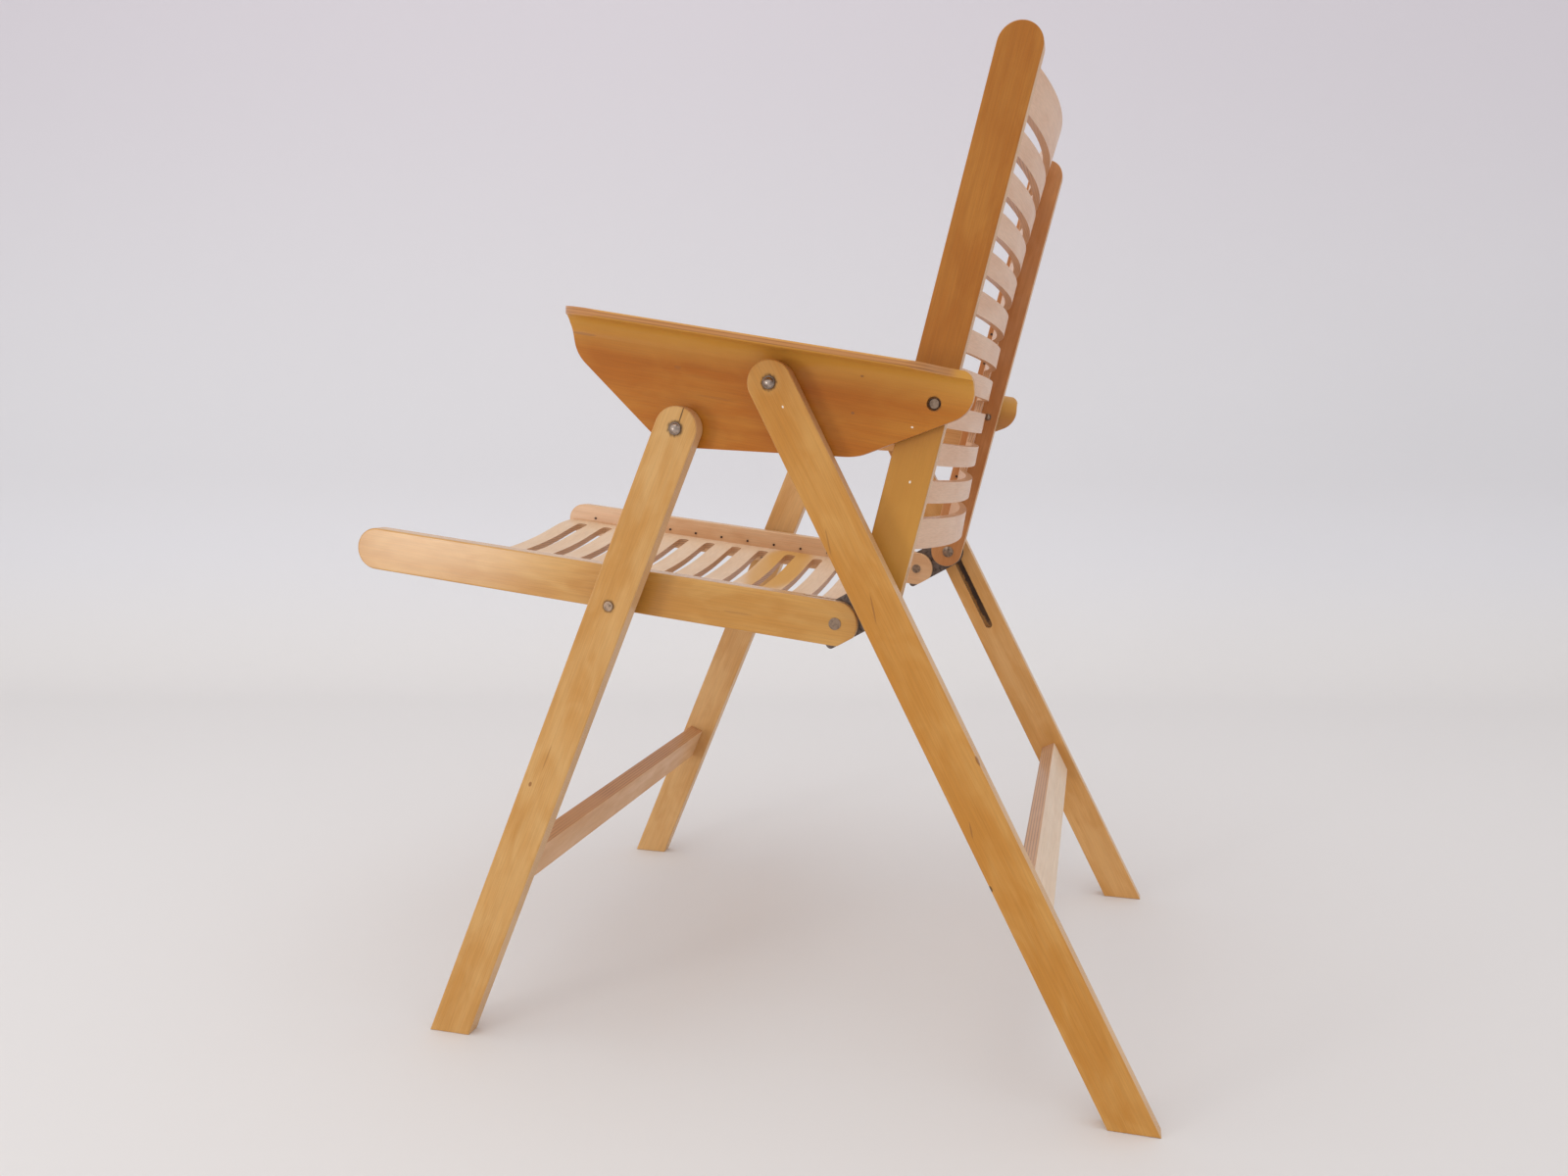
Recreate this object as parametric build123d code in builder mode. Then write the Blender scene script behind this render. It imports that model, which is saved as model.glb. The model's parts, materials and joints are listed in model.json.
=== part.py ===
from build123d import *
import os
from math import asin, copysign, cos, hypot, sin

os.makedirs("parts", exist_ok=True)

# Folding plywood armchair.  x is the sitter's left, y the rear, z up; millimetres.
# Every sub-part is drawn on the left, in the standing pose, and mirrored for the right.

# Layers across the width, from the middle outwards
rail_inner_x = 212.0
rail_thickness = 16.0
layer_gap = 1.0
armrest_thickness = 9.0
leg_thickness = 16.0
rail_outer_x = rail_inner_x + rail_thickness
armrest_inner_x = rail_outer_x + layer_gap
armrest_outer_x = armrest_inner_x + armrest_thickness
leg_inner_x = armrest_outer_x + layer_gap
leg_outer_x = leg_inner_x + leg_thickness
flange_outer_x = 284.0

# Bar widths and edges
leg_width = 36.0
seat_rail_width = 37.0
back_rail_width = 35.0
edge_radius = 1.2

# Pivots and bar ends in the side view, as (y, z)
front_leg_pivot = (-39.6, 541.9)
rear_leg_pivot = (38.2, 577.6)
back_pivot = (165.0, 561.2)
seat_leg_pivot = (-99.2, 396.0)
seat_link_pivot = (86.7, 385.5)
back_link_pivot = (123.2, 406.5)
front_foot = (-260.8, 0.0)
rear_foot = (334.1, 0.0)
seat_rail_front = (-335.8, 435.0)
back_rail_foot = (121.2, 407.0)
back_rail_top = (221.6, 822.5)

# Armrest: side outline as (y, z, corner radius), and the flange in plan
armrest_outline = [
    (195.5, 584.0, 9.0),
    (-138.0, 640.9, 7.0),
    (-131.6, 603.0, 32.0),
    (-55.2, 527.6, 50.0),
    (104.5, 519.7, 40.0),
    (195.5, 553.8, 22.0),
]
armrest_slope = (0, -1, 0.1707)
armrest_top_rear = (200.0, 583.2)
flange_thickness = 6.0
bend_radius = 14.0
flange_front_y = -136.0
flange_front_radius = 46.0
flange_end_y = 148.0
flange_tail_x = 257.0
flange_tail_y = 176.0

# Bent slatted panels: the seat's places run along its rail from the rear pivot, the back's up its own line
panel_thickness = 7.0
seat_slot_width = 12.0
back_slot_width = 13.5
slot_length = 376.0
seat_panel_start = 30.0
seat_panel_end = 440.0
seat_panel_offset = -1.8
seat_panel_bow = 23.7
seat_slot_first = 78.9
seat_slot_pitch = 33.4
seat_slot_count = 11
seat_brad_shift = 0.87
back_panel_low = (123.6, 444.3)
back_panel_high = (211.5, 839.0)
back_panel_bow_low = 29.0
back_panel_bow_middle = 20.5
back_panel_bow_high = 27.5
back_slot_first = 33.6
back_slot_pitch = 32.7
back_slot_count = 11
back_brad_shift = 0.5
brad_height = 3.2
panel_turn = 0.755

# Stretchers, measured down each leg from its reference pivot
stretcher_height = 36.0
stretcher_thickness = 16.0
front_stretcher_distance = 265.0
front_stretcher_offset = -3.0
rear_stretcher_distance = 467.0

# Hinge plate and its kerfs
plate_thickness = 2.5
kerf_width = 3.2
kerf_reach = 31.0
plate_half_width = 17.0
plate_open_hole = 15.6

# Guide slot in the rear leg, measured down the leg from its pivot
guide_slot_start = 190.0
guide_slot_end = 290.0
guide_slot_offset = -0.8
guide_slot_width = 8.6
guide_slot_depth = 9.0
guide_pin_diameter = 4.2

# Pins and heads
pin_diameter = 6.0
running_clearance = 0.05
head_diameter = 10.0
head_height = 2.2
recess_depth = 3.2
stand_off = 0.35


def direction(start, end):
    length = hypot(end[0] - start[0], end[1] - start[1])
    return (0, (end[0] - start[0]) / length, (end[1] - start[1]) / length)


def distance(start, end):
    return hypot(end[0] - start[0], end[1] - start[1])


def bar_plane(x, start, end):
    """Side-view plane at x: local x runs along the bar, from start to end."""
    return Plane(origin=(x, *start), x_dir=direction(start, end), z_dir=(1, 0, 0))


def side_plane(x, point):
    """Side-view plane at x with its origin on a pivot, facing out of the chair."""
    return Plane(origin=(x, *point), x_dir=(0, 1, 0), z_dir=(1, 0, 0))


def point_along(start, end, along, across=0.0):
    """The (y, z) point a given way along a bar and across it."""
    _, dy, dz = direction(start, end)
    return (start[0] + along * dy - across * dz, start[1] + along * dz + across * dy)


def round_at(x, point, diameter):
    """A round sketch on the side plane at x, centred on a pivot."""
    with BuildSketch(side_plane(x, point)) as outline:
        Circle(diameter / 2)
    return outline.sketch


def ring_at(x, point, outer_diameter, inner_diameter):
    """A ring sketch on the side plane at x, centred on a pivot."""
    with BuildSketch(side_plane(x, point)) as outline:
        Circle(outer_diameter / 2)
        Circle(inner_diameter / 2, mode=Mode.SUBTRACT)
    return outline.sketch


def dome(x, point, diameter, height):
    """A domed head: its flat side is at x, and a negative height points inwards."""
    rise = abs(height)
    radius = (diameter * diameter / 4 + rise * rise) / (2 * rise)
    half_angle = asin(diameter / 2 / radius) / 2
    shoulder = (radius * sin(half_angle), rise - radius + radius * cos(half_angle))
    facing = copysign(1, height)
    with BuildPart() as head:
        with BuildSketch(Plane(origin=(x, *point), x_dir=(0, 1, 0), z_dir=(0, 0, -facing))):
            with BuildLine():
                Line((0, 0), (diameter / 2, 0))
                ThreePointArc((diameter / 2, 0), shoulder, (0, rise))
                Line((0, rise), (0, 0))
            make_face()
        revolve(axis=Axis((x, *point), (1, 0, 0)))
    return head.part


def bow_height(x, depth, half_span):
    """A parabola that dips by depth, and turns back near the rails to leave them square."""
    share = abs(x) / half_span
    if share < panel_turn:
        return -depth * (1 - share * share / panel_turn)
    return -depth * (1 - share) ** 2 / (1 - panel_turn)


def bow_outline(depth, half_span, thickness):
    """A strip across the chair that follows the bow."""
    steps = 16
    spread = [half_span * (step / steps * 2 - 1) for step in range(steps + 1)]
    upper = [(x, bow_height(x, depth, half_span)) for x in spread]
    lower = [(x, y - thickness) for x, y in upper]
    with BuildSketch() as outline:
        with BuildLine():
            Spline(upper, tangents=[(1, 0), (1, 0)])
            Spline(lower, tangents=[(1, 0), (1, 0)])
            Line(upper[0], lower[0])
            Line(upper[-1], lower[-1])
        make_face()
    return outline.sketch


def export(shape, name):
    shape.label = name
    export_step(shape, "parts/" + name + ".step")


running_hole = pin_diameter + 2 * running_clearance
kerf_x = rail_inner_x + (rail_thickness - kerf_width) / 2
plate_x = rail_inner_x + (rail_thickness - plate_thickness) / 2

# ---- back rails: round both ends, kerf at the lower end ----
with BuildPart() as back_rail_left:
    rail_length = distance(back_rail_foot, back_rail_top)
    with BuildSketch(bar_plane(rail_inner_x, back_rail_foot, back_rail_top)):
        with Locations((rail_length / 2, 0)):
            SlotCenterToCenter(rail_length, back_rail_width)
    extrude(amount=rail_thickness)
    fillet(back_rail_left.faces().filter_by(Axis.X).edges(), edge_radius)
    with BuildSketch(bar_plane(kerf_x, back_rail_foot, back_rail_top)):
        with Locations((kerf_reach - 30, 0)):
            Rectangle(60, back_rail_width + 4)
    extrude(amount=kerf_width, mode=Mode.SUBTRACT)
    pin_hole = round_at(rail_inner_x, back_link_pivot, pin_diameter)
    pivot_hole = round_at(rail_inner_x, back_pivot, running_hole)
    extrude(pin_hole, amount=rail_thickness, mode=Mode.SUBTRACT)
    extrude(pivot_hole, amount=rail_thickness, mode=Mode.SUBTRACT)
with BuildPart() as back_rail_right:
    mirror(back_rail_left.part, about=Plane.YZ)
export(back_rail_left.part, "back_rail_left")
export(back_rail_right.part, "back_rail_right")

# ---- seat rails: round both ends, kerf at the rear end, chamfered under the hinge ----
with BuildPart() as seat_rail_left:
    rail_length = distance(seat_link_pivot, seat_rail_front)
    with BuildSketch(bar_plane(rail_inner_x, seat_link_pivot, seat_rail_front)):
        with Locations((rail_length / 2, 0)):
            SlotCenterToCenter(rail_length, seat_rail_width)
    extrude(amount=rail_thickness)
    with BuildSketch(bar_plane(rail_inner_x, seat_link_pivot, back_link_pivot)):
        with Locations((0, -plate_half_width - 6)):
            Rectangle(60, 12)
    extrude(amount=rail_thickness, mode=Mode.SUBTRACT)
    fillet(seat_rail_left.faces().filter_by(Axis.X).edges(), edge_radius)
    with BuildSketch(bar_plane(kerf_x, seat_link_pivot, seat_rail_front)):
        with Locations((kerf_reach - 30, 0)):
            Rectangle(60, seat_rail_width + 4)
    extrude(amount=kerf_width, mode=Mode.SUBTRACT)
    pin_hole = round_at(rail_inner_x, seat_link_pivot, pin_diameter)
    pivot_hole = round_at(rail_inner_x, seat_leg_pivot, running_hole)
    extrude(pin_hole, amount=rail_thickness, mode=Mode.SUBTRACT)
    extrude(pivot_hole, amount=rail_thickness, mode=Mode.SUBTRACT)
    head_recess = round_at(rail_inner_x, seat_leg_pivot, 10.2)
    extrude(head_recess, amount=recess_depth, mode=Mode.SUBTRACT)
with BuildPart() as seat_rail_right:
    mirror(seat_rail_left.part, about=Plane.YZ)
export(seat_rail_left.part, "seat_rail_left")
export(seat_rail_right.part, "seat_rail_right")

# ---- front and rear legs: round top, cut flat at the floor ----
with BuildPart() as front_leg_left:
    leg_length = distance(front_leg_pivot, front_foot) + leg_width
    with BuildSketch(bar_plane(leg_inner_x, front_leg_pivot, front_foot)):
        with Locations((leg_length / 2, 0)):
            SlotCenterToCenter(leg_length, leg_width)
    extrude(amount=leg_thickness)
    split(bisect_by=Plane.XY, keep=Keep.TOP)
    fillet(front_leg_left.faces().filter_by(Axis.X).edges(), edge_radius)
    pivot_hole = round_at(leg_inner_x, front_leg_pivot, running_hole)
    pin_hole = round_at(leg_inner_x, seat_leg_pivot, pin_diameter)
    extrude(pivot_hole, amount=leg_thickness, mode=Mode.SUBTRACT)
    extrude(pin_hole, amount=leg_thickness, mode=Mode.SUBTRACT)
with BuildPart() as front_leg_right:
    mirror(front_leg_left.part, about=Plane.YZ)
export(front_leg_left.part, "front_leg_left")
export(front_leg_right.part, "front_leg_right")

with BuildPart() as rear_leg_left:
    leg_length = distance(rear_leg_pivot, rear_foot) + leg_width
    with BuildSketch(bar_plane(leg_inner_x, rear_leg_pivot, rear_foot)):
        with Locations((leg_length / 2, 0)):
            SlotCenterToCenter(leg_length, leg_width)
    extrude(amount=leg_thickness)
    split(bisect_by=Plane.XY, keep=Keep.TOP)
    fillet(rear_leg_left.faces().filter_by(Axis.X).edges(), edge_radius)
    pivot_hole = round_at(leg_inner_x, rear_leg_pivot, running_hole)
    extrude(pivot_hole, amount=leg_thickness, mode=Mode.SUBTRACT)
    with BuildSketch(bar_plane(leg_inner_x, rear_leg_pivot, rear_foot)):
        with Locations(((guide_slot_start + guide_slot_end) / 2, guide_slot_offset)):
            SlotCenterToCenter(guide_slot_end - guide_slot_start, guide_slot_width)
    extrude(amount=guide_slot_depth, mode=Mode.SUBTRACT)
with BuildPart() as rear_leg_right:
    mirror(rear_leg_left.part, about=Plane.YZ)
export(rear_leg_left.part, "rear_leg_left")
export(rear_leg_right.part, "rear_leg_right")

# ---- stretchers: flat boards between the legs ----
with BuildPart() as front_stretcher:
    with BuildSketch(bar_plane(-leg_inner_x, seat_leg_pivot, front_foot)):
        with Locations((front_stretcher_distance, front_stretcher_offset)):
            Rectangle(stretcher_height, stretcher_thickness)
    extrude(amount=2 * leg_inner_x)
    fillet(front_stretcher.edges().filter_by(Axis.X), edge_radius)
export(front_stretcher.part, "front_stretcher")

with BuildPart() as rear_stretcher:
    with BuildSketch(bar_plane(-leg_inner_x, rear_leg_pivot, rear_foot)):
        with Locations((rear_stretcher_distance, 0)):
            Rectangle(stretcher_height, stretcher_thickness)
    extrude(amount=2 * leg_inner_x)
    fillet(rear_stretcher.edges().filter_by(Axis.X), edge_radius)
export(rear_stretcher.part, "rear_stretcher")

# ---- armrests: bent L section along the slope, trimmed to the side and plan outlines ----
with BuildPart() as armrest_left:
    with BuildSketch(Plane(origin=(0, *armrest_top_rear), x_dir=(1, 0, 0), z_dir=armrest_slope)):
        with BuildLine():
            Polyline(
                (armrest_inner_x, -140),
                (armrest_inner_x, 0),
                (flange_outer_x, 0),
                (flange_outer_x, -flange_thickness),
                (armrest_outer_x, -flange_thickness),
                (armrest_outer_x, -140),
                close=True,
            )
        make_face()
        fillet(vertices().sort_by_distance((armrest_inner_x, 0))[0], bend_radius + armrest_thickness)
        fillet(vertices().sort_by_distance((armrest_outer_x, -flange_thickness))[0], bend_radius)
        fillet(vertices().sort_by_distance((flange_outer_x, 0))[0], 2)
        fillet(vertices().sort_by_distance((flange_outer_x, -flange_thickness))[0], 2)
    extrude(amount=360)
    with BuildSketch(Plane.YZ.offset(armrest_inner_x - 5)):
        with BuildLine():
            Polyline([(y, z) for y, z, _ in armrest_outline], close=True)
        make_face()
        for y, z, radius in armrest_outline:
            fillet(vertices().sort_by_distance((y, z))[0], radius)
    extrude(amount=70, mode=Mode.INTERSECT)
    with BuildSketch(Plane.XY.offset(480)):
        with BuildLine():
            plan_front = Polyline(
                (armrest_inner_x, 200),
                (armrest_inner_x, flange_front_y),
                (flange_outer_x, flange_front_y),
                (flange_outer_x, flange_end_y),
            )
            plan_tail = Spline(
                (flange_outer_x, flange_end_y),
                (flange_tail_x, flange_tail_y),
                (armrest_outer_x + 12, 200),
                tangents=[(0, 1), (-0.3, 1)],
            )
            Line((armrest_outer_x + 12, 200), (armrest_inner_x, 200))
        make_face()
        fillet(vertices().sort_by_distance((flange_outer_x, flange_front_y))[0], flange_front_radius)
    extrude(amount=200, mode=Mode.INTERSECT)
    rivet_holes = [front_leg_pivot, rear_leg_pivot, back_pivot]
    for pivot in rivet_holes:
        extrude(round_at(armrest_inner_x, pivot, pin_diameter), amount=20, mode=Mode.SUBTRACT)
    counterbore = round_at(armrest_outer_x - 4, back_pivot, 11)
    extrude(counterbore, amount=20, mode=Mode.SUBTRACT)
with BuildPart() as armrest_right:
    mirror(armrest_left.part, about=Plane.YZ)
export(armrest_left.part, "armrest_left")
export(armrest_right.part, "armrest_right")

# ---- seat panel: bent plywood that dips between the rails, slotted across ----
_, seat_dy, seat_dz = direction(seat_link_pivot, seat_rail_front)
seat_front_way = (0, seat_dy, seat_dz)
seat_normal = (0, seat_dz, -seat_dy)
with BuildPart() as seat_panel:
    panel_origin = point_along(seat_link_pivot, seat_rail_front, seat_panel_start, -seat_panel_offset)
    with BuildSketch(Plane(origin=(0, *panel_origin), x_dir=(1, 0, 0), z_dir=seat_front_way)):
        add(bow_outline(seat_panel_bow, rail_inner_x, panel_thickness))
    extrude(amount=seat_panel_end - seat_panel_start)
    fillet(seat_panel.edges().filter_by(GeomType.BSPLINE), 1.2)
    slot_origin = point_along(seat_link_pivot, seat_rail_front, seat_slot_first)
    with BuildSketch(Plane(origin=(0, *slot_origin), x_dir=(1, 0, 0), z_dir=seat_normal)):
        slot_places = [(0, -seat_slot_pitch * slot) for slot in range(seat_slot_count)]
        with Locations(slot_places):
            SlotOverall(slot_length, seat_slot_width)
    extrude(amount=60, both=True, mode=Mode.SUBTRACT)
export(seat_panel.part, "seat_panel")

# ---- back panel: the same, bowed to the rear and set a little askew of the rails ----
_, back_dy, back_dz = direction(back_panel_low, back_panel_high)
back_up_way = (0, back_dy, back_dz)
back_normal = (0, -back_dz, back_dy)
with BuildPart() as back_panel:
    back_bows = (back_panel_bow_low, back_panel_bow_middle, back_panel_bow_high)
    for step, bow in enumerate(back_bows):
        rise = distance(back_panel_low, back_panel_high) * step / 2
        level = point_along(back_panel_low, back_panel_high, rise)
        with BuildSketch(Plane(origin=(0, *level), x_dir=(-1, 0, 0), z_dir=back_up_way)):
            add(bow_outline(bow, rail_inner_x, panel_thickness))
    loft()
    fillet(back_panel.edges().filter_by(lambda edge: abs(edge.center().X) < 1), 1.2)
    slot_origin = point_along(back_panel_low, back_panel_high, back_slot_first)
    with BuildSketch(Plane(origin=(0, *slot_origin), x_dir=(1, 0, 0), z_dir=back_normal)):
        slot_places = [(0, back_slot_pitch * slot) for slot in range(back_slot_count)]
        with Locations(slot_places):
            SlotOverall(slot_length, back_slot_width)
    extrude(amount=60, both=True, mode=Mode.SUBTRACT)
export(back_panel.part, "back_panel")

# ---- hinge plates: flat steel in the kerfs, a running hole at the back, an open hole at the seat ----
with BuildPart() as link_plate_left:
    plate_length = distance(back_link_pivot, seat_link_pivot)
    with BuildSketch(bar_plane(plate_x, back_link_pivot, seat_link_pivot)):
        Circle(plate_half_width)
        with Locations(((plate_length + plate_half_width) / 2, 0)):
            Rectangle(plate_length + plate_half_width, 2 * plate_half_width)
        fillet(vertices().group_by(Axis.X)[-1], 4)
        Circle(running_hole / 2, mode=Mode.SUBTRACT)
        with Locations((plate_length, 0)):
            Circle(plate_open_hole / 2, mode=Mode.SUBTRACT)
    extrude(amount=plate_thickness)
with BuildPart() as link_plate_right:
    mirror(link_plate_left.part, about=Plane.YZ)
export(link_plate_left.part, "link_plate_left")
export(link_plate_right.part, "link_plate_right")

# ---- leg rivets: shank through armrest and leg, domed head on a ring outside ----
with BuildPart() as leg_rivets:
    for pivot in (front_leg_pivot, rear_leg_pivot):
        shank = round_at(armrest_inner_x, pivot, pin_diameter)
        ring = round_at(leg_outer_x + stand_off, pivot, head_diameter)
        extrude(shank, amount=leg_outer_x + stand_off - armrest_inner_x)
        extrude(ring, amount=0.7)
        add(dome(leg_outer_x + stand_off + 0.7, pivot, head_diameter - 1.6, head_height))
    mirror(about=Plane.YZ)
export(leg_rivets.part, "leg_rivets")

# ---- washers that hold the layers apart, fixed to the armrests ----
with BuildPart() as armrest_washers:
    for pivot in (front_leg_pivot, rear_leg_pivot):
        extrude(ring_at(armrest_outer_x, pivot, 16, pin_diameter), amount=layer_gap - 0.3)
    extrude(ring_at(armrest_inner_x, back_pivot, 16, pin_diameter), amount=-(layer_gap - 0.3))
    mirror(about=Plane.YZ)
export(armrest_washers.part, "armrest_washers")

# ---- back rivets: sunk head in the armrest counterbore, domed head inside the back rail ----
with BuildPart() as back_rivets:
    inner_face = rail_inner_x - stand_off
    shank = round_at(inner_face, back_pivot, pin_diameter)
    extrude(shank, amount=armrest_outer_x - 4 - inner_face)
    extrude(round_at(armrest_outer_x - 4, back_pivot, 7.4), amount=1.6)
    extrude(round_at(inner_face, back_pivot, 7.6), amount=-0.7)
    add(dome(inner_face - 0.7, back_pivot, 6.8, -head_height))
    mirror(about=Plane.YZ)
export(back_rivets.part, "back_rivets")

# ---- seat rivets: flat heads, with a spacer tube between the leg and the seat rail ----
with BuildPart() as seat_rivets:
    sunk_head_x = rail_inner_x + recess_depth - stand_off
    shank = round_at(sunk_head_x, seat_leg_pivot, pin_diameter)
    extrude(shank, amount=leg_outer_x - sunk_head_x)
    extrude(round_at(leg_outer_x, seat_leg_pivot, 8), amount=0.8)
    extrude(round_at(sunk_head_x, seat_leg_pivot, 9.4), amount=-2)
    mirror(about=Plane.YZ)
export(seat_rivets.part, "seat_rivets")

with BuildPart() as seat_spacers:
    spacer = ring_at(rail_outer_x + 0.3, seat_leg_pivot, 14, pin_diameter)
    extrude(spacer, amount=leg_inner_x - rail_outer_x - 0.3)
    mirror(about=Plane.YZ)
export(seat_spacers.part, "seat_spacers")

# ---- seat hinge rivets: through the seat rail, flat heads on both faces ----
with BuildPart() as hinge_rivets:
    extrude(round_at(rail_inner_x, seat_link_pivot, pin_diameter), amount=rail_thickness)
    extrude(round_at(rail_inner_x, seat_link_pivot, head_diameter), amount=-0.8)
    extrude(round_at(rail_outer_x, seat_link_pivot, head_diameter), amount=0.5)
    mirror(about=Plane.YZ)
export(hinge_rivets.part, "hinge_rivets")

# ---- guide screws: slotted domed head inside, guide pin out into the rear leg's slot ----
with BuildPart() as guide_screws:
    head = dome(rail_inner_x - 0.8, back_link_pivot, 12.5, -2.6)
    extrude(round_at(rail_inner_x, back_link_pivot, pin_diameter), amount=rail_thickness)
    guide_length = leg_inner_x + guide_slot_depth - 1 - rail_outer_x
    extrude(round_at(rail_outer_x, back_link_pivot, guide_pin_diameter), amount=guide_length)
    extrude(round_at(rail_inner_x, back_link_pivot, 12.5), amount=-0.8)
    add(head)
    with BuildSketch(bar_plane(rail_inner_x - 1.6, back_link_pivot, back_rail_top)):
        Rectangle(14, 1.6)
    extrude(amount=-3, mode=Mode.SUBTRACT)
    mirror(about=Plane.YZ)
export(guide_screws.part, "guide_screws")

# ---- brads: one at each slat's end, against the inner face of the rails ----
with BuildPart() as seat_brads:
    for slat in range(seat_slot_count - 1):
        along = seat_slot_first + seat_slot_pitch * (seat_brad_shift + slat)
        place = point_along(seat_link_pivot, seat_rail_front, along, -brad_height)
        extrude(round_at(-rail_inner_x, place, 2.6), amount=1.2)
        extrude(round_at(rail_inner_x, place, 2.6), amount=-1.2)
export(seat_brads.part, "seat_brads")

with BuildPart() as back_brads:
    for slat in range(back_slot_count - 2):
        along = back_slot_first + back_slot_pitch * (back_brad_shift + slat)
        place = point_along(back_panel_low, back_panel_high, along, brad_height)
        extrude(round_at(-rail_inner_x, place, 2.6), amount=1.2)
        extrude(round_at(rail_inner_x, place, 2.6), amount=-1.2)
export(back_brads.part, "back_brads")
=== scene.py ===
import json
import math

import bpy
from mathutils import Matrix, Vector


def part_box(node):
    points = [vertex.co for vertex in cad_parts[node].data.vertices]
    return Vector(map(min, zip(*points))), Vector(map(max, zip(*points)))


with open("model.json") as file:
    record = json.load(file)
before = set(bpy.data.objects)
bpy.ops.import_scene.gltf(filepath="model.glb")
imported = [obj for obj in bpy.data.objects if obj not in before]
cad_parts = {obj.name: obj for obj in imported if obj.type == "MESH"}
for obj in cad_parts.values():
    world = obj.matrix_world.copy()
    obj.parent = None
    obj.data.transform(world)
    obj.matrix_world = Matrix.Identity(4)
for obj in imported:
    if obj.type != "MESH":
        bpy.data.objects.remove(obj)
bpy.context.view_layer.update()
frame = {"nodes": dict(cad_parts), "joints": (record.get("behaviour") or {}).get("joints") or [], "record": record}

# Folding plywood armchair. x is the sitter's left, y the rear, z up; sizes are in metres.
# Every shape of the chair is a CAD mesh. This script gives them their woods and metals,
# and adds the floor, the lights and the camera.

MM = 0.001
ACROSS_CHAIR = Vector((1, 0, 0))
REARWARDS = Vector((0, 1, 0))
UPWARDS = Vector((0, 0, 1))
nodes = frame["nodes"]
joints = {joint["name"]: Vector(joint["pos_m"]) for joint in frame["joints"]}
mounts = {mount["name"]: Vector(mount["pos_m"]) for mount in frame["record"]["mounts"]}

# Wood colours, linear: each board's usual tone, and the darker tone of its figure
LEG = ((0.640, 0.365, 0.130), (0.545, 0.260, 0.062))
REAR_LEG = ((0.610, 0.310, 0.080), (0.520, 0.220, 0.035))
FAR_LEG = ((0.680, 0.400, 0.165), (0.590, 0.310, 0.105))
REAR_FAR_LEG = ((0.650, 0.350, 0.125), (0.560, 0.265, 0.070))
RAIL = ((0.620, 0.330, 0.085), (0.520, 0.235, 0.040))
FAR_RAIL = ((0.700, 0.440, 0.250), (0.610, 0.330, 0.160))
AMBER = ((0.510, 0.195, 0.020), (0.440, 0.135, 0.008))
BACK_RAIL = ((0.440, 0.170, 0.024), (0.360, 0.115, 0.010))
FAR_BACK_RAIL = ((0.520, 0.230, 0.085), (0.430, 0.160, 0.045))
FAR_ARMREST = ((0.560, 0.290, 0.110), (0.480, 0.210, 0.060))
SEAT = ((0.760, 0.560, 0.380), (0.680, 0.450, 0.270))
BACK = ((0.720, 0.475, 0.320), (0.640, 0.370, 0.230))
FRONT_STRETCHER = ((0.730, 0.445, 0.235), (0.640, 0.350, 0.160))
REAR_STRETCHER = ((0.780, 0.600, 0.430), (0.700, 0.495, 0.330))
GOLDEN = (0.640, 0.330, 0.060)

# Ply edges: the pale plies, and the thin dark lines between them
PALE_EDGE = ((0.740, 0.490, 0.270), (0.330, 0.140, 0.050))
BROWN_EDGE = ((0.500, 0.230, 0.090), (0.200, 0.070, 0.025))
# Dark tint: cracks, chips and grime, and also painted shade round rivet heads, in counterbores and in the guide
# slots
GRIME_AND_SHADE = (0.050, 0.022, 0.010)
STREAK = (0.270, 0.110, 0.030)
CHALK = (0.900, 0.840, 0.720)

# Varnish on a piece, as the share of clear coat; the near seat rail is the shiniest
VARNISH = 0.26
THICK_VARNISH = 0.70
COAT_ROUGHNESS = 0.18
WOOD_SPECULAR = 0.16

# Thickness of one ply in millimetres, as its lines show on an edge
BOARD_PLY = 1.45
ARMREST_PLY = 1.3
PANEL_PLY = 1.2

# Camera: where the picture is taken from, and its lens
CAMERA_PLACE = Vector((1.14227, 0.28860, 0.53037))
CAMERA_YAW = math.radians(14.9758)
CAMERA_PITCH = math.radians(7.0539)
CAMERA_ROLL = math.radians(0.2587)
CAMERA_LENS = 26.80
SENSOR_WIDTH = 36.0

# Studio sweep: a floor that curves up into a wall, which faces the camera behind the chair
WALL_DISTANCE = 1.65
COVE_RADIUS = 0.45
COVE_STEPS = 24
FLOOR_REACH = 6.0
WALL_HEIGHT = 3.2
FLOOR_PAPER = (0.780, 0.755, 0.735)
WALL_PAPER = (0.765, 0.755, 0.775)
# The wall paper darkens towards the top: painted shade
HIGH_WALL_PAINTED_SHADE = (0.700, 0.660, 0.700)
AIR_STRENGTH = 0.90


def side_run(mount, joint):
    """Side-view run from a foot to a pivot."""
    run = joints[joint] - mounts[mount]
    return Vector((0, run.y, run.z))


def bar_run(node, width, lean):
    """Side-view run of a round-ended bar, from its box; lean is its sense along y as it rises."""
    low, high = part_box(node)
    return Vector((0, lean * (high.y - low.y - width), high.z - low.z - width))


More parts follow.
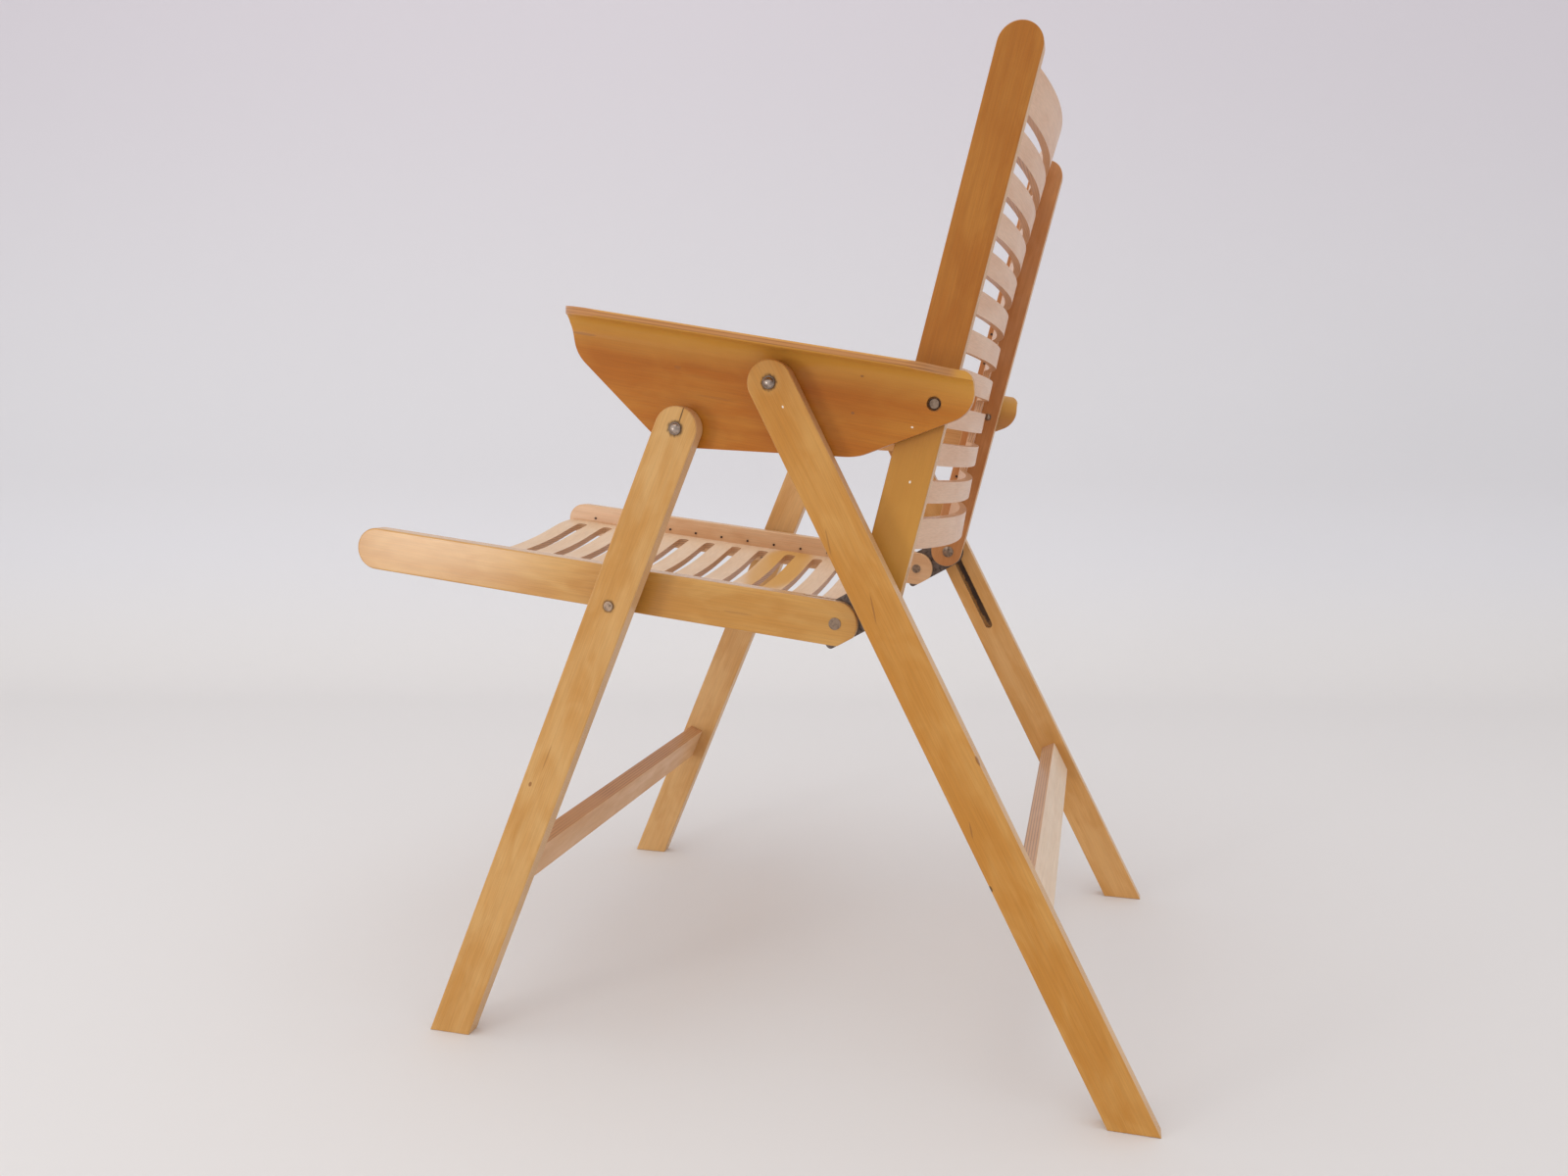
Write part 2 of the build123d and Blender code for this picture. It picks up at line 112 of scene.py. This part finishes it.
# Directions and places, from the frame and from the rails' and armrests' own sizes
SEAT_RAIL_WIDTH = 37 * MM
BACK_RAIL_WIDTH = 35 * MM
FRONT_LEG_RUN = side_run("front_left_foot", "front_leg_fold")
REAR_LEG_RUN = side_run("rear_left_foot", "rear_leg_fold")
SEAT_RUN = bar_run("seat_rail_left", SEAT_RAIL_WIDTH, -1)
BACK_RUN = bar_run("back_rail_left", BACK_RAIL_WIDTH, 1)
ARMREST_RUN = Vector((0, -1, 0.1707))
LEG_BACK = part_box("front_leg_left")[0].x
LEG_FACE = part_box("front_leg_left")[1].x
SEAT_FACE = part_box("seat_rail_left")[1].x
ARMREST_FACE = 238 * MM
ARMREST_REAR = Vector((0, 200 * MM, 583.2 * MM))
ARMREST_UP = ARMREST_RUN.normalized().cross(ACROSS_CHAIR)
FLANGE_RIM = 252 * MM
BEND_DEPTH = 20 * MM
GUIDE_SLOT_DEPTH = 6 * MM


class Graph:
    """A material's node tree, with short calls for the nodes used here."""

    def __init__(self, name):
        self.material = bpy.data.materials.new(name)
        self.material.use_nodes = True
        self.tree = self.material.node_tree
        self.shader = self.tree.nodes["Principled BSDF"]
        coordinates = self.node("ShaderNodeTexCoord")
        self.place = coordinates.outputs["Object"]
        self.normal = coordinates.outputs["Normal"]

    def node(self, kind, **settings):
        made = self.tree.nodes.new(kind)
        for name, value in settings.items():
            setattr(made, name, value)
        return made

    def feed(self, socket, value):
        if isinstance(value, bpy.types.NodeSocket):
            self.tree.links.new(value, socket)
        elif value is not None:
            socket.default_value = value

    def math(self, operation, first, second=None):
        made = self.node("ShaderNodeMath", operation=operation)
        self.feed(made.inputs[0], first)
        self.feed(made.inputs[1], second)
        return made.outputs[0]

    def absolute(self, value):
        return self.math("ABSOLUTE", value)

    def dot(self, vector, axis):
        made = self.node("ShaderNodeVectorMath", operation="DOT_PRODUCT")
        self.feed(made.inputs[0], vector)
        made.inputs[1].default_value = axis
        return made.outputs["Value"]

    def away_from(self, point):
        made = self.node("ShaderNodeVectorMath", operation="SUBTRACT")
        self.feed(made.inputs[0], self.place)
        made.inputs[1].default_value = point
        return made.outputs[0]

    def combine(self, x, y, z):
        made = self.node("ShaderNodeCombineXYZ")
        for socket, value in zip(made.inputs, (x, y, z)):
            self.feed(socket, value)
        return made.outputs[0]

    def noise(self, vector, detail=2.0, distortion=0.0, roughness=0.5):
        made = self.node("ShaderNodeTexNoise")
        self.feed(made.inputs["Vector"], vector)
        made.inputs["Scale"].default_value = 1.0
        made.inputs["Detail"].default_value = detail
        made.inputs["Roughness"].default_value = roughness
        made.inputs["Distortion"].default_value = distortion
        return made.outputs["Fac"]

    def band(self, value, low, high, start=0.0, end=1.0):
        """A smooth step in value: start below low, and end above high."""
        made = self.node("ShaderNodeMapRange", interpolation_type="SMOOTHSTEP")
        self.feed(made.inputs["Value"], value)
        for name, number in (("From Min", low), ("From Max", high), ("To Min", start), ("To Max", end)):
            made.inputs[name].default_value = number
        return made.outputs["Result"]

    def mix(self, factor, first, second, blend="MIX"):
        made = self.node("ShaderNodeMix", data_type="RGBA", blend_type=blend)
        self.feed(made.inputs["Factor"], factor)
        for socket, value in ((made.inputs["A"], first), (made.inputs["B"], second)):
            colour = value if isinstance(value, bpy.types.NodeSocket) else (*value, 1.0)
            self.feed(socket, colour)
        return made.outputs["Result"]

    def grey(self, value):
        return self.combine(value, value, value)

    def bump(self, height, strength, distance):
        made = self.node("ShaderNodeBump")
        made.inputs["Strength"].default_value = strength
        made.inputs["Distance"].default_value = distance
        self.feed(made.inputs["Height"], height)
        self.feed(self.shader.inputs["Normal"], made.outputs["Normal"])

    def set(self, **values):
        for name, value in values.items():
            self.feed(self.shader.inputs[name.replace("_", " ")], value)


class Mark:
    """A small oval mark on a side face: a knot, a streak, a chip, or painted shade round a rivet or in a slot."""

    def __init__(self, centre, length, width, way, tint, strength, depth=4 * MM):
        self.centre = centre
        self.half_length = length / 2
        self.half_width = width / 2
        self.way = way.normalized()
        self.tint = tint
        self.strength = strength
        self.depth = depth

    def mask(self, graph, raggedness):
        offset = graph.away_from(self.centre)
        reach = None
        axes = ((self.way, self.half_length), (ACROSS_CHAIR.cross(self.way), self.half_width),
                (ACROSS_CHAIR, self.depth))
        for axis, half in axes:
            share = graph.absolute(graph.math("DIVIDE", graph.dot(offset, axis), half))
            part = graph.math("POWER", share, 2.0)
            reach = part if reach is None else graph.math("ADD", reach, part)
        reach = graph.math("ADD", reach, raggedness)
        return graph.band(reach, 0.45, 1.15, self.strength, 0.0)


def on_bar(origin, run, along, across, x):
    """A point on a bar's side face, by millimetres along its run and across it from origin."""
    way = run.normalized()
    side = ACROSS_CHAIR.cross(way)
    spot = Vector((0, origin.y, origin.z)) + way * along * MM + side * across * MM
    return Vector((x, spot.y, spot.z))


# Painted shade: a dark ring on the wood round a rivet head, or in its counterbore
def rivet_shade_ring(pivot, diameter, x, strength=0.75):
    return Mark(Vector((x, pivot.y, pivot.z)), diameter, diameter, UPWARDS, GRIME_AND_SHADE, strength)


def flat_ply(through):
    """Edge mask and ply depth of a flat board."""
    def regions(graph):
        facing = graph.absolute(graph.dot(graph.normal, through))
        return graph.band(facing, 0.35, 0.80, 1.0, 0.0), graph.dot(graph.place, through)
    return regions


def bent_ply(graph):
    """Edge mask and ply depth of an armrest: a panel on edge that bends out into a flange."""
    sideways = graph.absolute(graph.dot(graph.place, ACROSS_CHAIR))
    facing = graph.absolute(graph.dot(graph.normal, ACROSS_CHAIR))
    lying = graph.absolute(graph.dot(graph.normal, ARMREST_UP))
    in_flange = graph.band(sideways, ARMREST_FACE, ARMREST_FACE + 2 * MM)
    panel_edge = graph.band(facing, 0.3, 0.8, 1.0, 0.0)
    panel_edge = graph.math("MULTIPLY", panel_edge, graph.math("SUBTRACT", 1.0, in_flange))
    height = graph.dot(graph.away_from(ARMREST_REAR), ARMREST_UP)
    below_bend = graph.band(height, -BEND_DEPTH - 6 * MM, -BEND_DEPTH, 1.0, 0.0)
    flange_edge = graph.band(lying, 0.35, 0.8, 1.0, 0.0)
    at_rim = graph.band(sideways, FLANGE_RIM, FLANGE_RIM + 4 * MM)
    flange_edge = graph.math("MULTIPLY", flange_edge, at_rim)
    mask = graph.math("MAXIMUM", graph.math("MULTIPLY", panel_edge, below_bend), flange_edge)
    depth = graph.mix(in_flange, graph.grey(sideways), graph.grey(height))
    return mask, graph.dot(depth, ACROSS_CHAIR)


def plywood(name, along, across, tones, seed, regions, edge=PALE_EDGE, edge_strength=0.85, ply=BOARD_PLY,
            figure=1.0, marks=(), tinge=None, polish=VARNISH):
    """Varnished plywood: cloudy veneer on the faces, ply lines on the edges, then the marks."""
    graph = Graph(name)
    light, dark = tones
    u = graph.math("ADD", graph.dot(graph.place, along.normalized()), seed * 1.37)
    v = graph.math("ADD", graph.dot(graph.place, across.normalized()), seed * 0.61)
    side = graph.dot(graph.place, along.cross(across).normalized())

    def stretched(lengthwise, crosswise):
        return graph.combine(graph.math("MULTIPLY", u, lengthwise), graph.math("MULTIPLY", v, crosswise),
                             graph.math("MULTIPLY", side, crosswise * 0.4))

    clouds = graph.noise(stretched(7.0, 22.0), detail=2.5, distortion=0.6)
    blotches = graph.noise(stretched(24.0, 58.0), detail=2.0, distortion=0.8)
    streaks = graph.noise(stretched(2.2, 95.0), detail=3.0, distortion=0.25)
    fibres = graph.noise(stretched(26.0, 1100.0), detail=2.0, roughness=0.6)
    pores = graph.band(graph.noise(stretched(160.0, 1300.0), detail=1.0), 0.66, 0.78)
    hills = graph.noise(stretched(1.3, 15.0), detail=1.5, distortion=0.5)
    rings = graph.band(graph.math("SINE", graph.math("MULTIPLY", hills, 80.0)), 0.2, 1.0)

    tone = graph.math("ADD", graph.math("MULTIPLY", clouds, 0.62), graph.math("MULTIPLY", blotches, 0.38))
    tone = graph.math("ADD", tone, graph.math("MULTIPLY", graph.math("SUBTRACT", streaks, 0.5), 0.30))
    face = graph.mix(graph.band(tone, 0.33, 0.67, 0.0, figure), light, dark)
    face = graph.mix(graph.math("MULTIPLY", rings, 0.16 * figure), face, dark)
    face = graph.mix(1.0, face, graph.grey(graph.band(fibres, 0.3, 0.7, 0.935, 1.045)), blend="MULTIPLY")
    face = graph.mix(graph.math("MULTIPLY", pores, 0.22), face, dark)
    if tinge:
        face = graph.mix(tinge(graph), face, GOLDEN)

    edge_mask, depth = regions(graph)
    wobble = graph.math("MULTIPLY", graph.math("SUBTRACT", streaks, 0.5), 0.35 * MM)
    turns = graph.math("MULTIPLY", graph.math("ADD", depth, wobble), math.pi / (ply * MM))
    lines = graph.band(graph.math("SINE", turns), 0.35, 0.85)
    worn = graph.band(graph.noise(stretched(9.0, 40.0), detail=2.0), 0.35, 0.62, 0.25, 1.0)
    edge_colour = graph.mix(graph.math("MULTIPLY", lines, worn), edge[0], edge[1])
    edge_colour = graph.mix(graph.math("MULTIPLY", blotches, 0.35), edge_colour, light)
    colour = graph.mix(graph.math("MULTIPLY", edge_mask, edge_strength), face, edge_colour)
    ragged = graph.math("MULTIPLY", graph.math("SUBTRACT", graph.noise(stretched(300.0, 500.0)), 0.5), 0.9)
    for mark in marks:
        colour = graph.mix(mark.mask(graph, ragged), colour, mark.tint)

    graph.set(Base_Color=colour, Specular_IOR_Level=WOOD_SPECULAR, Coat_Weight=polish,
              Coat_Roughness=COAT_ROUGHNESS)
    graph.set(Roughness=graph.band(tone, 0.3, 0.7, 0.42, 0.55))
    relief = graph.math("ADD", fibres, graph.math("MULTIPLY", pores, -0.6))
    grooves = graph.math("MULTIPLY", graph.math("MULTIPLY", lines, edge_mask), -0.5)
    relief = graph.math("ADD", relief, grooves)
    graph.bump(relief, 0.30, 0.0003)
    return graph.material


def bar_wood(name, run, tones, seed, **details):
    """The wood of a flat bar that runs in the side view."""
    return plywood(name, run, ACROSS_CHAIR.cross(run), tones, seed, flat_ply(ACROSS_CHAIR), **details)


def board_wood(name, stand, tones, seed, **details):
    """The wood of a board that runs across the chair; stand is the way its plies' faces rise."""
    through = stand.cross(ACROSS_CHAIR).normalized()
    return plywood(name, ACROSS_CHAIR, stand, tones, seed, flat_ply(through), **details)


def metal(name, tint, low, high, shade=None):
    """Dull steel with a brown film and fine scratches."""
    graph = Graph(name)
    stretch = graph.node("ShaderNodeVectorMath", operation="SCALE")
    graph.feed(stretch.inputs[0], graph.place)
    stretch.inputs["Scale"].default_value = 300.0
    film = graph.noise(stretch.outputs[0], detail=4.0, distortion=0.5)
    colour = graph.mix(graph.band(film, 0.4, 0.75), tint, tuple(part * 0.45 for part in tint))
    if shade:
        colour = graph.mix(shade(graph), colour, GRIME_AND_SHADE)
    graph.set(Base_Color=colour, Metallic=1.0, Roughness=graph.band(film, 0.3, 0.7, low, high))
    graph.bump(film, 0.25, 0.0002)
    return graph.material


def dress(material, *names):
    for name in names:
        piece = nodes[name]
        piece.data.materials.clear()
        piece.data.materials.append(material)


# ---- wear and figure on single pieces ----
def front_leg_marks():
    """A crack above the rivet, a dot and a streak low down, and painted shade round the rivets."""
    pivot = joints["front_leg_fold"]
    down = -FRONT_LEG_RUN
    crack_way = Vector((0, 0.35, 1))
    crack_place = on_bar(pivot, down, -12, 1, LEG_FACE)
    dot_place = on_bar(pivot, down, 332, -10, LEG_FACE)
    streak_place = on_bar(pivot, down, 303, -4, LEG_FACE)
    return [
        Mark(crack_place, 16 * MM, 1.1 * MM, crack_way, GRIME_AND_SHADE, 0.85),
        Mark(dot_place, 5 * MM, 3 * MM, down, STREAK, 0.8),
        Mark(streak_place, 26 * MM, 1.5 * MM, down, STREAK, 0.4),
        rivet_shade_ring(pivot, 14.5 * MM, LEG_FACE),
        rivet_shade_ring(joints["seat_fold"], 12 * MM, LEG_FACE, 0.6),
    ]


def rear_leg_marks():
    """Three slanting streaks, a chip in each edge, a pale speck, and painted shade round the rivet."""
    pivot = joints["rear_leg_fold"]
    down = -REAR_LEG_RUN
    slant = down + ACROSS_CHAIR.cross(down) * -0.25
    # millimetres down the leg, across it and in length, then the strength
    streaks = ((132, -13, 22, 0.5), (194, -4, 26, 0.6), (383, -11, 14, 0.6))
    marks = []
    for along, across, length, strength in streaks:
        place = on_bar(pivot, down, along, across, LEG_FACE)
        marks.append(Mark(place, length * MM, 1.4 * MM, slant, STREAK, strength))
    rear_chip = on_bar(pivot, down, 431, -17.5, LEG_FACE)
    marks.append(Mark(rear_chip, 6 * MM, 3 * MM, down, GRIME_AND_SHADE, 0.8))
    front_chip = on_bar(pivot, down, 335, 18.0, LEG_FACE)
    marks.append(Mark(front_chip, 9 * MM, 3 * MM, down, STREAK, 0.8))
    speck = on_bar(pivot, down, 22, 1.5, LEG_FACE)
    marks.append(Mark(speck, 2.4 * MM, 1.6 * MM, down, CHALK, 0.9))
    marks.append(rivet_shade_ring(pivot, 14.5 * MM, LEG_FACE))
    return marks


def guide_slot_shade(side):
    """Painted shade in the blind slot in the leg's inner face: a line of overlapping dark ovals."""
    down = -REAR_LEG_RUN
    slot_floor = side * (LEG_BACK + GUIDE_SLOT_DEPTH)
    marks = []
    for along in (213, 240, 267):
        place = on_bar(joints["rear_leg_fold"], down, along, 0.8, slot_floor)
        marks.append(Mark(place, 66 * MM, 11.5 * MM, down, GRIME_AND_SHADE, 0.9, depth=7.5 * MM))
    return marks


def armrest_marks():
    """Knots, dots, streaks and a pale speck on the panel, and painted shade in the counterbore at the back."""
    # millimetres forward along the armrest and down it, length and width, then tint and strength
    spots = (
        (241, 33, 7, 3, STREAK, 0.35),
        (89.6, 16, 3, 2, STREAK, 0.8),
        (92, 45, 3, 2.4, STREAK, 0.9),
        (327, 19, 28, 2.2, STREAK, 0.45),
        (44, 48, 2.2, 1.6, CHALK, 0.9),
        (205, 52, 34, 2, STREAK, 0.25),
    )
    marks = []
    for along, down, length, width, tint, strength in spots:
        place = on_bar(ARMREST_REAR, ARMREST_RUN, along, down, ARMREST_FACE)
        marks.append(Mark(place, length * MM, width * MM, ARMREST_RUN, tint, strength))
    # Painted shade: the counterbore round the arm rivet is darkened
    marks.append(rivet_shade_ring(joints["arm_fold"], 13.6 * MM, ARMREST_FACE - 2 * MM, 0.95))
    return marks


def bend_painted_light(graph):
    """Painted light: the veneer is lighter and more golden under the flange and down the bend, where light from
    the floor falls.
    """
    height = graph.dot(graph.away_from(ARMREST_REAR), ARMREST_UP)
    return graph.band(height, -34 * MM, -8 * MM, 0.0, 0.72)


def golden_foot(graph):
    """The back rail is yellower low down."""
    return graph.band(graph.dot(graph.place, UPWARDS), 0.42, 0.66, 0.70, 0.0)


def seat_stain(graph):
    """A golden oval patch of old varnish on the seat, towards the right rail."""
    centre = Vector((-0.135, -0.058, 0.385))
    half_width = 0.115
    half_length = 0.034
    offset = graph.away_from(centre)
    across = graph.math("DIVIDE", graph.dot(offset, ACROSS_CHAIR), half_width)
    along = graph.math("DIVIDE", graph.dot(offset, REARWARDS), half_length)
    across_squared = graph.math("POWER", graph.absolute(across), 2.0)
    along_squared = graph.math("POWER", graph.absolute(along), 2.0)
    return graph.band(graph.math("ADD", across_squared, along_squared), 0.4, 1.1, 0.85, 0.0)


def make_leg_woods():
    near_front = bar_wood("front_leg_veneer_left", FRONT_LEG_RUN, LEG, 1.0, marks=front_leg_marks())
    dress(near_front, "front_leg_left")
    far_front = bar_wood("front_leg_veneer_right", FRONT_LEG_RUN, FAR_LEG, 2.3)
    dress(far_front, "front_leg_right")
    near_marks = rear_leg_marks() + guide_slot_shade(1)
    near_rear = bar_wood("rear_leg_veneer_left", REAR_LEG_RUN, REAR_LEG, 3.1, marks=near_marks)
    dress(near_rear, "rear_leg_left")
    far_marks = guide_slot_shade(-1)
    far_rear = bar_wood("rear_leg_veneer_right", REAR_LEG_RUN, REAR_FAR_LEG, 4.6, marks=far_marks)
    dress(far_rear, "rear_leg_right")


def make_rail_woods():
    streak_place = on_bar(joints["seat_fold"], SEAT_RUN, -104, -7, SEAT_FACE)
    streak = Mark(streak_place, 30 * MM, 2 * MM, SEAT_RUN, STREAK, 0.35)
    near_seat = bar_wood("seat_rail_veneer_left", SEAT_RUN, RAIL, 8.7, marks=[streak], polish=THICK_VARNISH)
    dress(near_seat, "seat_rail_left")
    dress(bar_wood("seat_rail_veneer_right", SEAT_RUN, FAR_RAIL, 9.9), "seat_rail_right")
    speck_place = on_bar(joints["link_fold"], BACK_RUN, 97, 0, SEAT_FACE)
    speck = Mark(speck_place, 2.4 * MM, 1.8 * MM, BACK_RUN, CHALK, 0.9)
    near_back = bar_wood("back_rail_veneer_left", BACK_RUN, BACK_RAIL, 10.2, marks=[speck],
                         tinge=golden_foot)
    dress(near_back, "back_rail_left")
    dress(bar_wood("back_rail_veneer_right", BACK_RUN, FAR_BACK_RAIL, 11.8), "back_rail_right")


def make_armrest_woods():
    for side, tones, marks in (("left", AMBER, armrest_marks()), ("right", FAR_ARMREST, [])):
        # The tinge on each armrest is painted light: a lighter golden band under the flange
        veneer = plywood("armrest_veneer_" + side, ARMREST_RUN, ARMREST_UP, tones, 13.4, bent_ply,
                         edge=BROWN_EDGE, edge_strength=0.95, ply=ARMREST_PLY, marks=marks,
                         tinge=bend_painted_light)
        dress(veneer, "armrest_" + side)


def make_board_woods():
    seat = board_wood("seat_veneer", SEAT_RUN, SEAT, 17.0, ply=PANEL_PLY, edge=BROWN_EDGE, figure=0.6,
                      tinge=seat_stain)
    dress(seat, "seat_panel")
    back = board_wood("back_veneer", BACK_RUN, BACK, 21.0, ply=PANEL_PLY, edge=BROWN_EDGE, figure=0.6)
    dress(back, "back_panel")
    front = board_wood("front_stretcher_veneer", FRONT_LEG_RUN, FRONT_STRETCHER, 25.0, edge=BROWN_EDGE)
    dress(front, "front_stretcher")
    rear = board_wood("rear_stretcher_veneer", REAR_LEG_RUN, REAR_STRETCHER, 29.0, edge=BROWN_EDGE,
                      figure=0.5)
    dress(rear, "rear_stretcher")


def rivet_ring(graph):
    """The ring under a leg rivet's dome is darker."""
    sideways = graph.absolute(graph.dot(graph.place, ACROSS_CHAIR))
    return graph.band(sideways, LEG_FACE + 0.9 * MM, LEG_FACE + 1.3 * MM, 0.85, 0.0)


def make_metals():
    dress(metal("leg_rivet_steel", (0.46, 0.37, 0.31), 0.24, 0.42, shade=rivet_ring), "leg_rivets")
    rivet_steel = metal("rivet_steel", (0.30, 0.21, 0.15), 0.30, 0.50)
    dress(rivet_steel, "back_rivets", "seat_rivets", "hinge_rivets", "guide_screws")
    dress(metal("plate_steel", (0.17, 0.13, 0.11), 0.40, 0.60), "link_plate_left", "link_plate_right")
    dress(metal("washer_steel", (0.16, 0.13, 0.11), 0.40, 0.60), "armrest_washers", "seat_spacers")
    dress(metal("brad_steel", (0.08, 0.05, 0.04), 0.45, 0.70), "seat_brads", "back_brads")


# ---- the studio ----
def make_stage():
    profile = [(FLOOR_REACH, 0.0)]
    for step in range(COVE_STEPS + 1):
        angle = math.radians(90 * step / COVE_STEPS)
        cove_x = COVE_RADIUS * (1 - math.sin(angle)) - WALL_DISTANCE
        profile.append((cove_x, COVE_RADIUS * (1 - math.cos(angle))))
    profile.append((-WALL_DISTANCE, WALL_HEIGHT))
    away = Vector((math.cos(CAMERA_YAW), math.sin(CAMERA_YAW), 0))
    sideways = Vector((-away.y, away.x, 0)) * FLOOR_REACH
    vertices = [away * x + sideways * side + UPWARDS * z for x, z in profile for side in (-1, 1)]
    faces = [(2 * step, 2 * step + 1, 2 * step + 3, 2 * step + 2) for step in range(len(profile) - 1)]
    mesh = bpy.data.meshes.new("studio_floor")
    mesh.from_pydata(vertices, [], faces)
    for face in mesh.polygons:
        face.use_smooth = True
    floor = bpy.data.objects.new("studio_floor", mesh)
    bpy.context.scene.collection.objects.link(floor)
    graph = Graph("studio_paper")
    height = graph.dot(graph.place, UPWARDS)
    paper = graph.mix(graph.band(height, 0.0, 0.30), FLOOR_PAPER, WALL_PAPER)
    # Painted shade: the paper darkens from 0.5 m to 1.7 m up the wall
    paper = graph.mix(graph.band(height, 0.5, 1.7), paper, HIGH_WALL_PAINTED_SHADE)
    graph.set(Base_Color=paper, Roughness=0.9, Specular_IOR_Level=0.1)
    mesh.materials.append(graph.material)


def make_softbox(name, place, target, size, power):
    data = bpy.data.lights.new(name, "AREA")
    data.shape = "RECTANGLE"
    data.size, data.size_y = size
    data.energy = power
    light = bpy.data.objects.new(name, data)
    light.location = place
    light.rotation_mode = "QUATERNION"
    light.rotation_quaternion = (Vector(target) - Vector(place)).to_track_quat("-Z", "Y")
    bpy.context.scene.collection.objects.link(light)


def make_lights():
    world = bpy.data.worlds.new("studio_air")
    world.use_nodes = True
    background = world.node_tree.nodes["Background"]
    background.inputs["Color"].default_value = (0.98, 0.98, 1.0, 1.0)
    background.inputs["Strength"].default_value = AIR_STRENGTH
    bpy.context.scene.world = world
    make_softbox("overhead_softbox", (0.5, -0.3, 2.6), (0, 0, 0.3), (2.6, 2.2), 12)
    make_softbox("front_softbox", (2.06, -1.40, 0.42), (0.1, -0.1, 0.45), (0.46, 0.5), 8)


def make_camera():
    cos_yaw, sin_yaw = math.cos(CAMERA_YAW), math.sin(CAMERA_YAW)
    cos_pitch, sin_pitch = math.cos(CAMERA_PITCH), math.sin(CAMERA_PITCH)
    forward = Vector((-cos_yaw * cos_pitch, -sin_yaw * cos_pitch, -sin_pitch))
    level = Vector((-sin_yaw, cos_yaw, 0))
    upright = level.cross(forward)
    right = level * math.cos(CAMERA_ROLL) + upright * math.sin(CAMERA_ROLL)
    top = upright * math.cos(CAMERA_ROLL) - level * math.sin(CAMERA_ROLL)
    data = bpy.data.cameras.new("camera")
    data.lens = CAMERA_LENS
    data.sensor_width = SENSOR_WIDTH
    camera = bpy.data.objects.new("camera", data)
    turn = Matrix((right, top, -forward)).transposed().to_4x4()
    camera.matrix_world = Matrix.Translation(CAMERA_PLACE) @ turn
    bpy.context.scene.collection.objects.link(camera)
    bpy.context.scene.camera = camera


make_leg_woods()
make_rail_woods()
make_armrest_woods()
make_board_woods()
make_metals()
make_stage()
make_lights()
make_camera()
bpy.context.scene.view_settings.view_transform = "Standard"
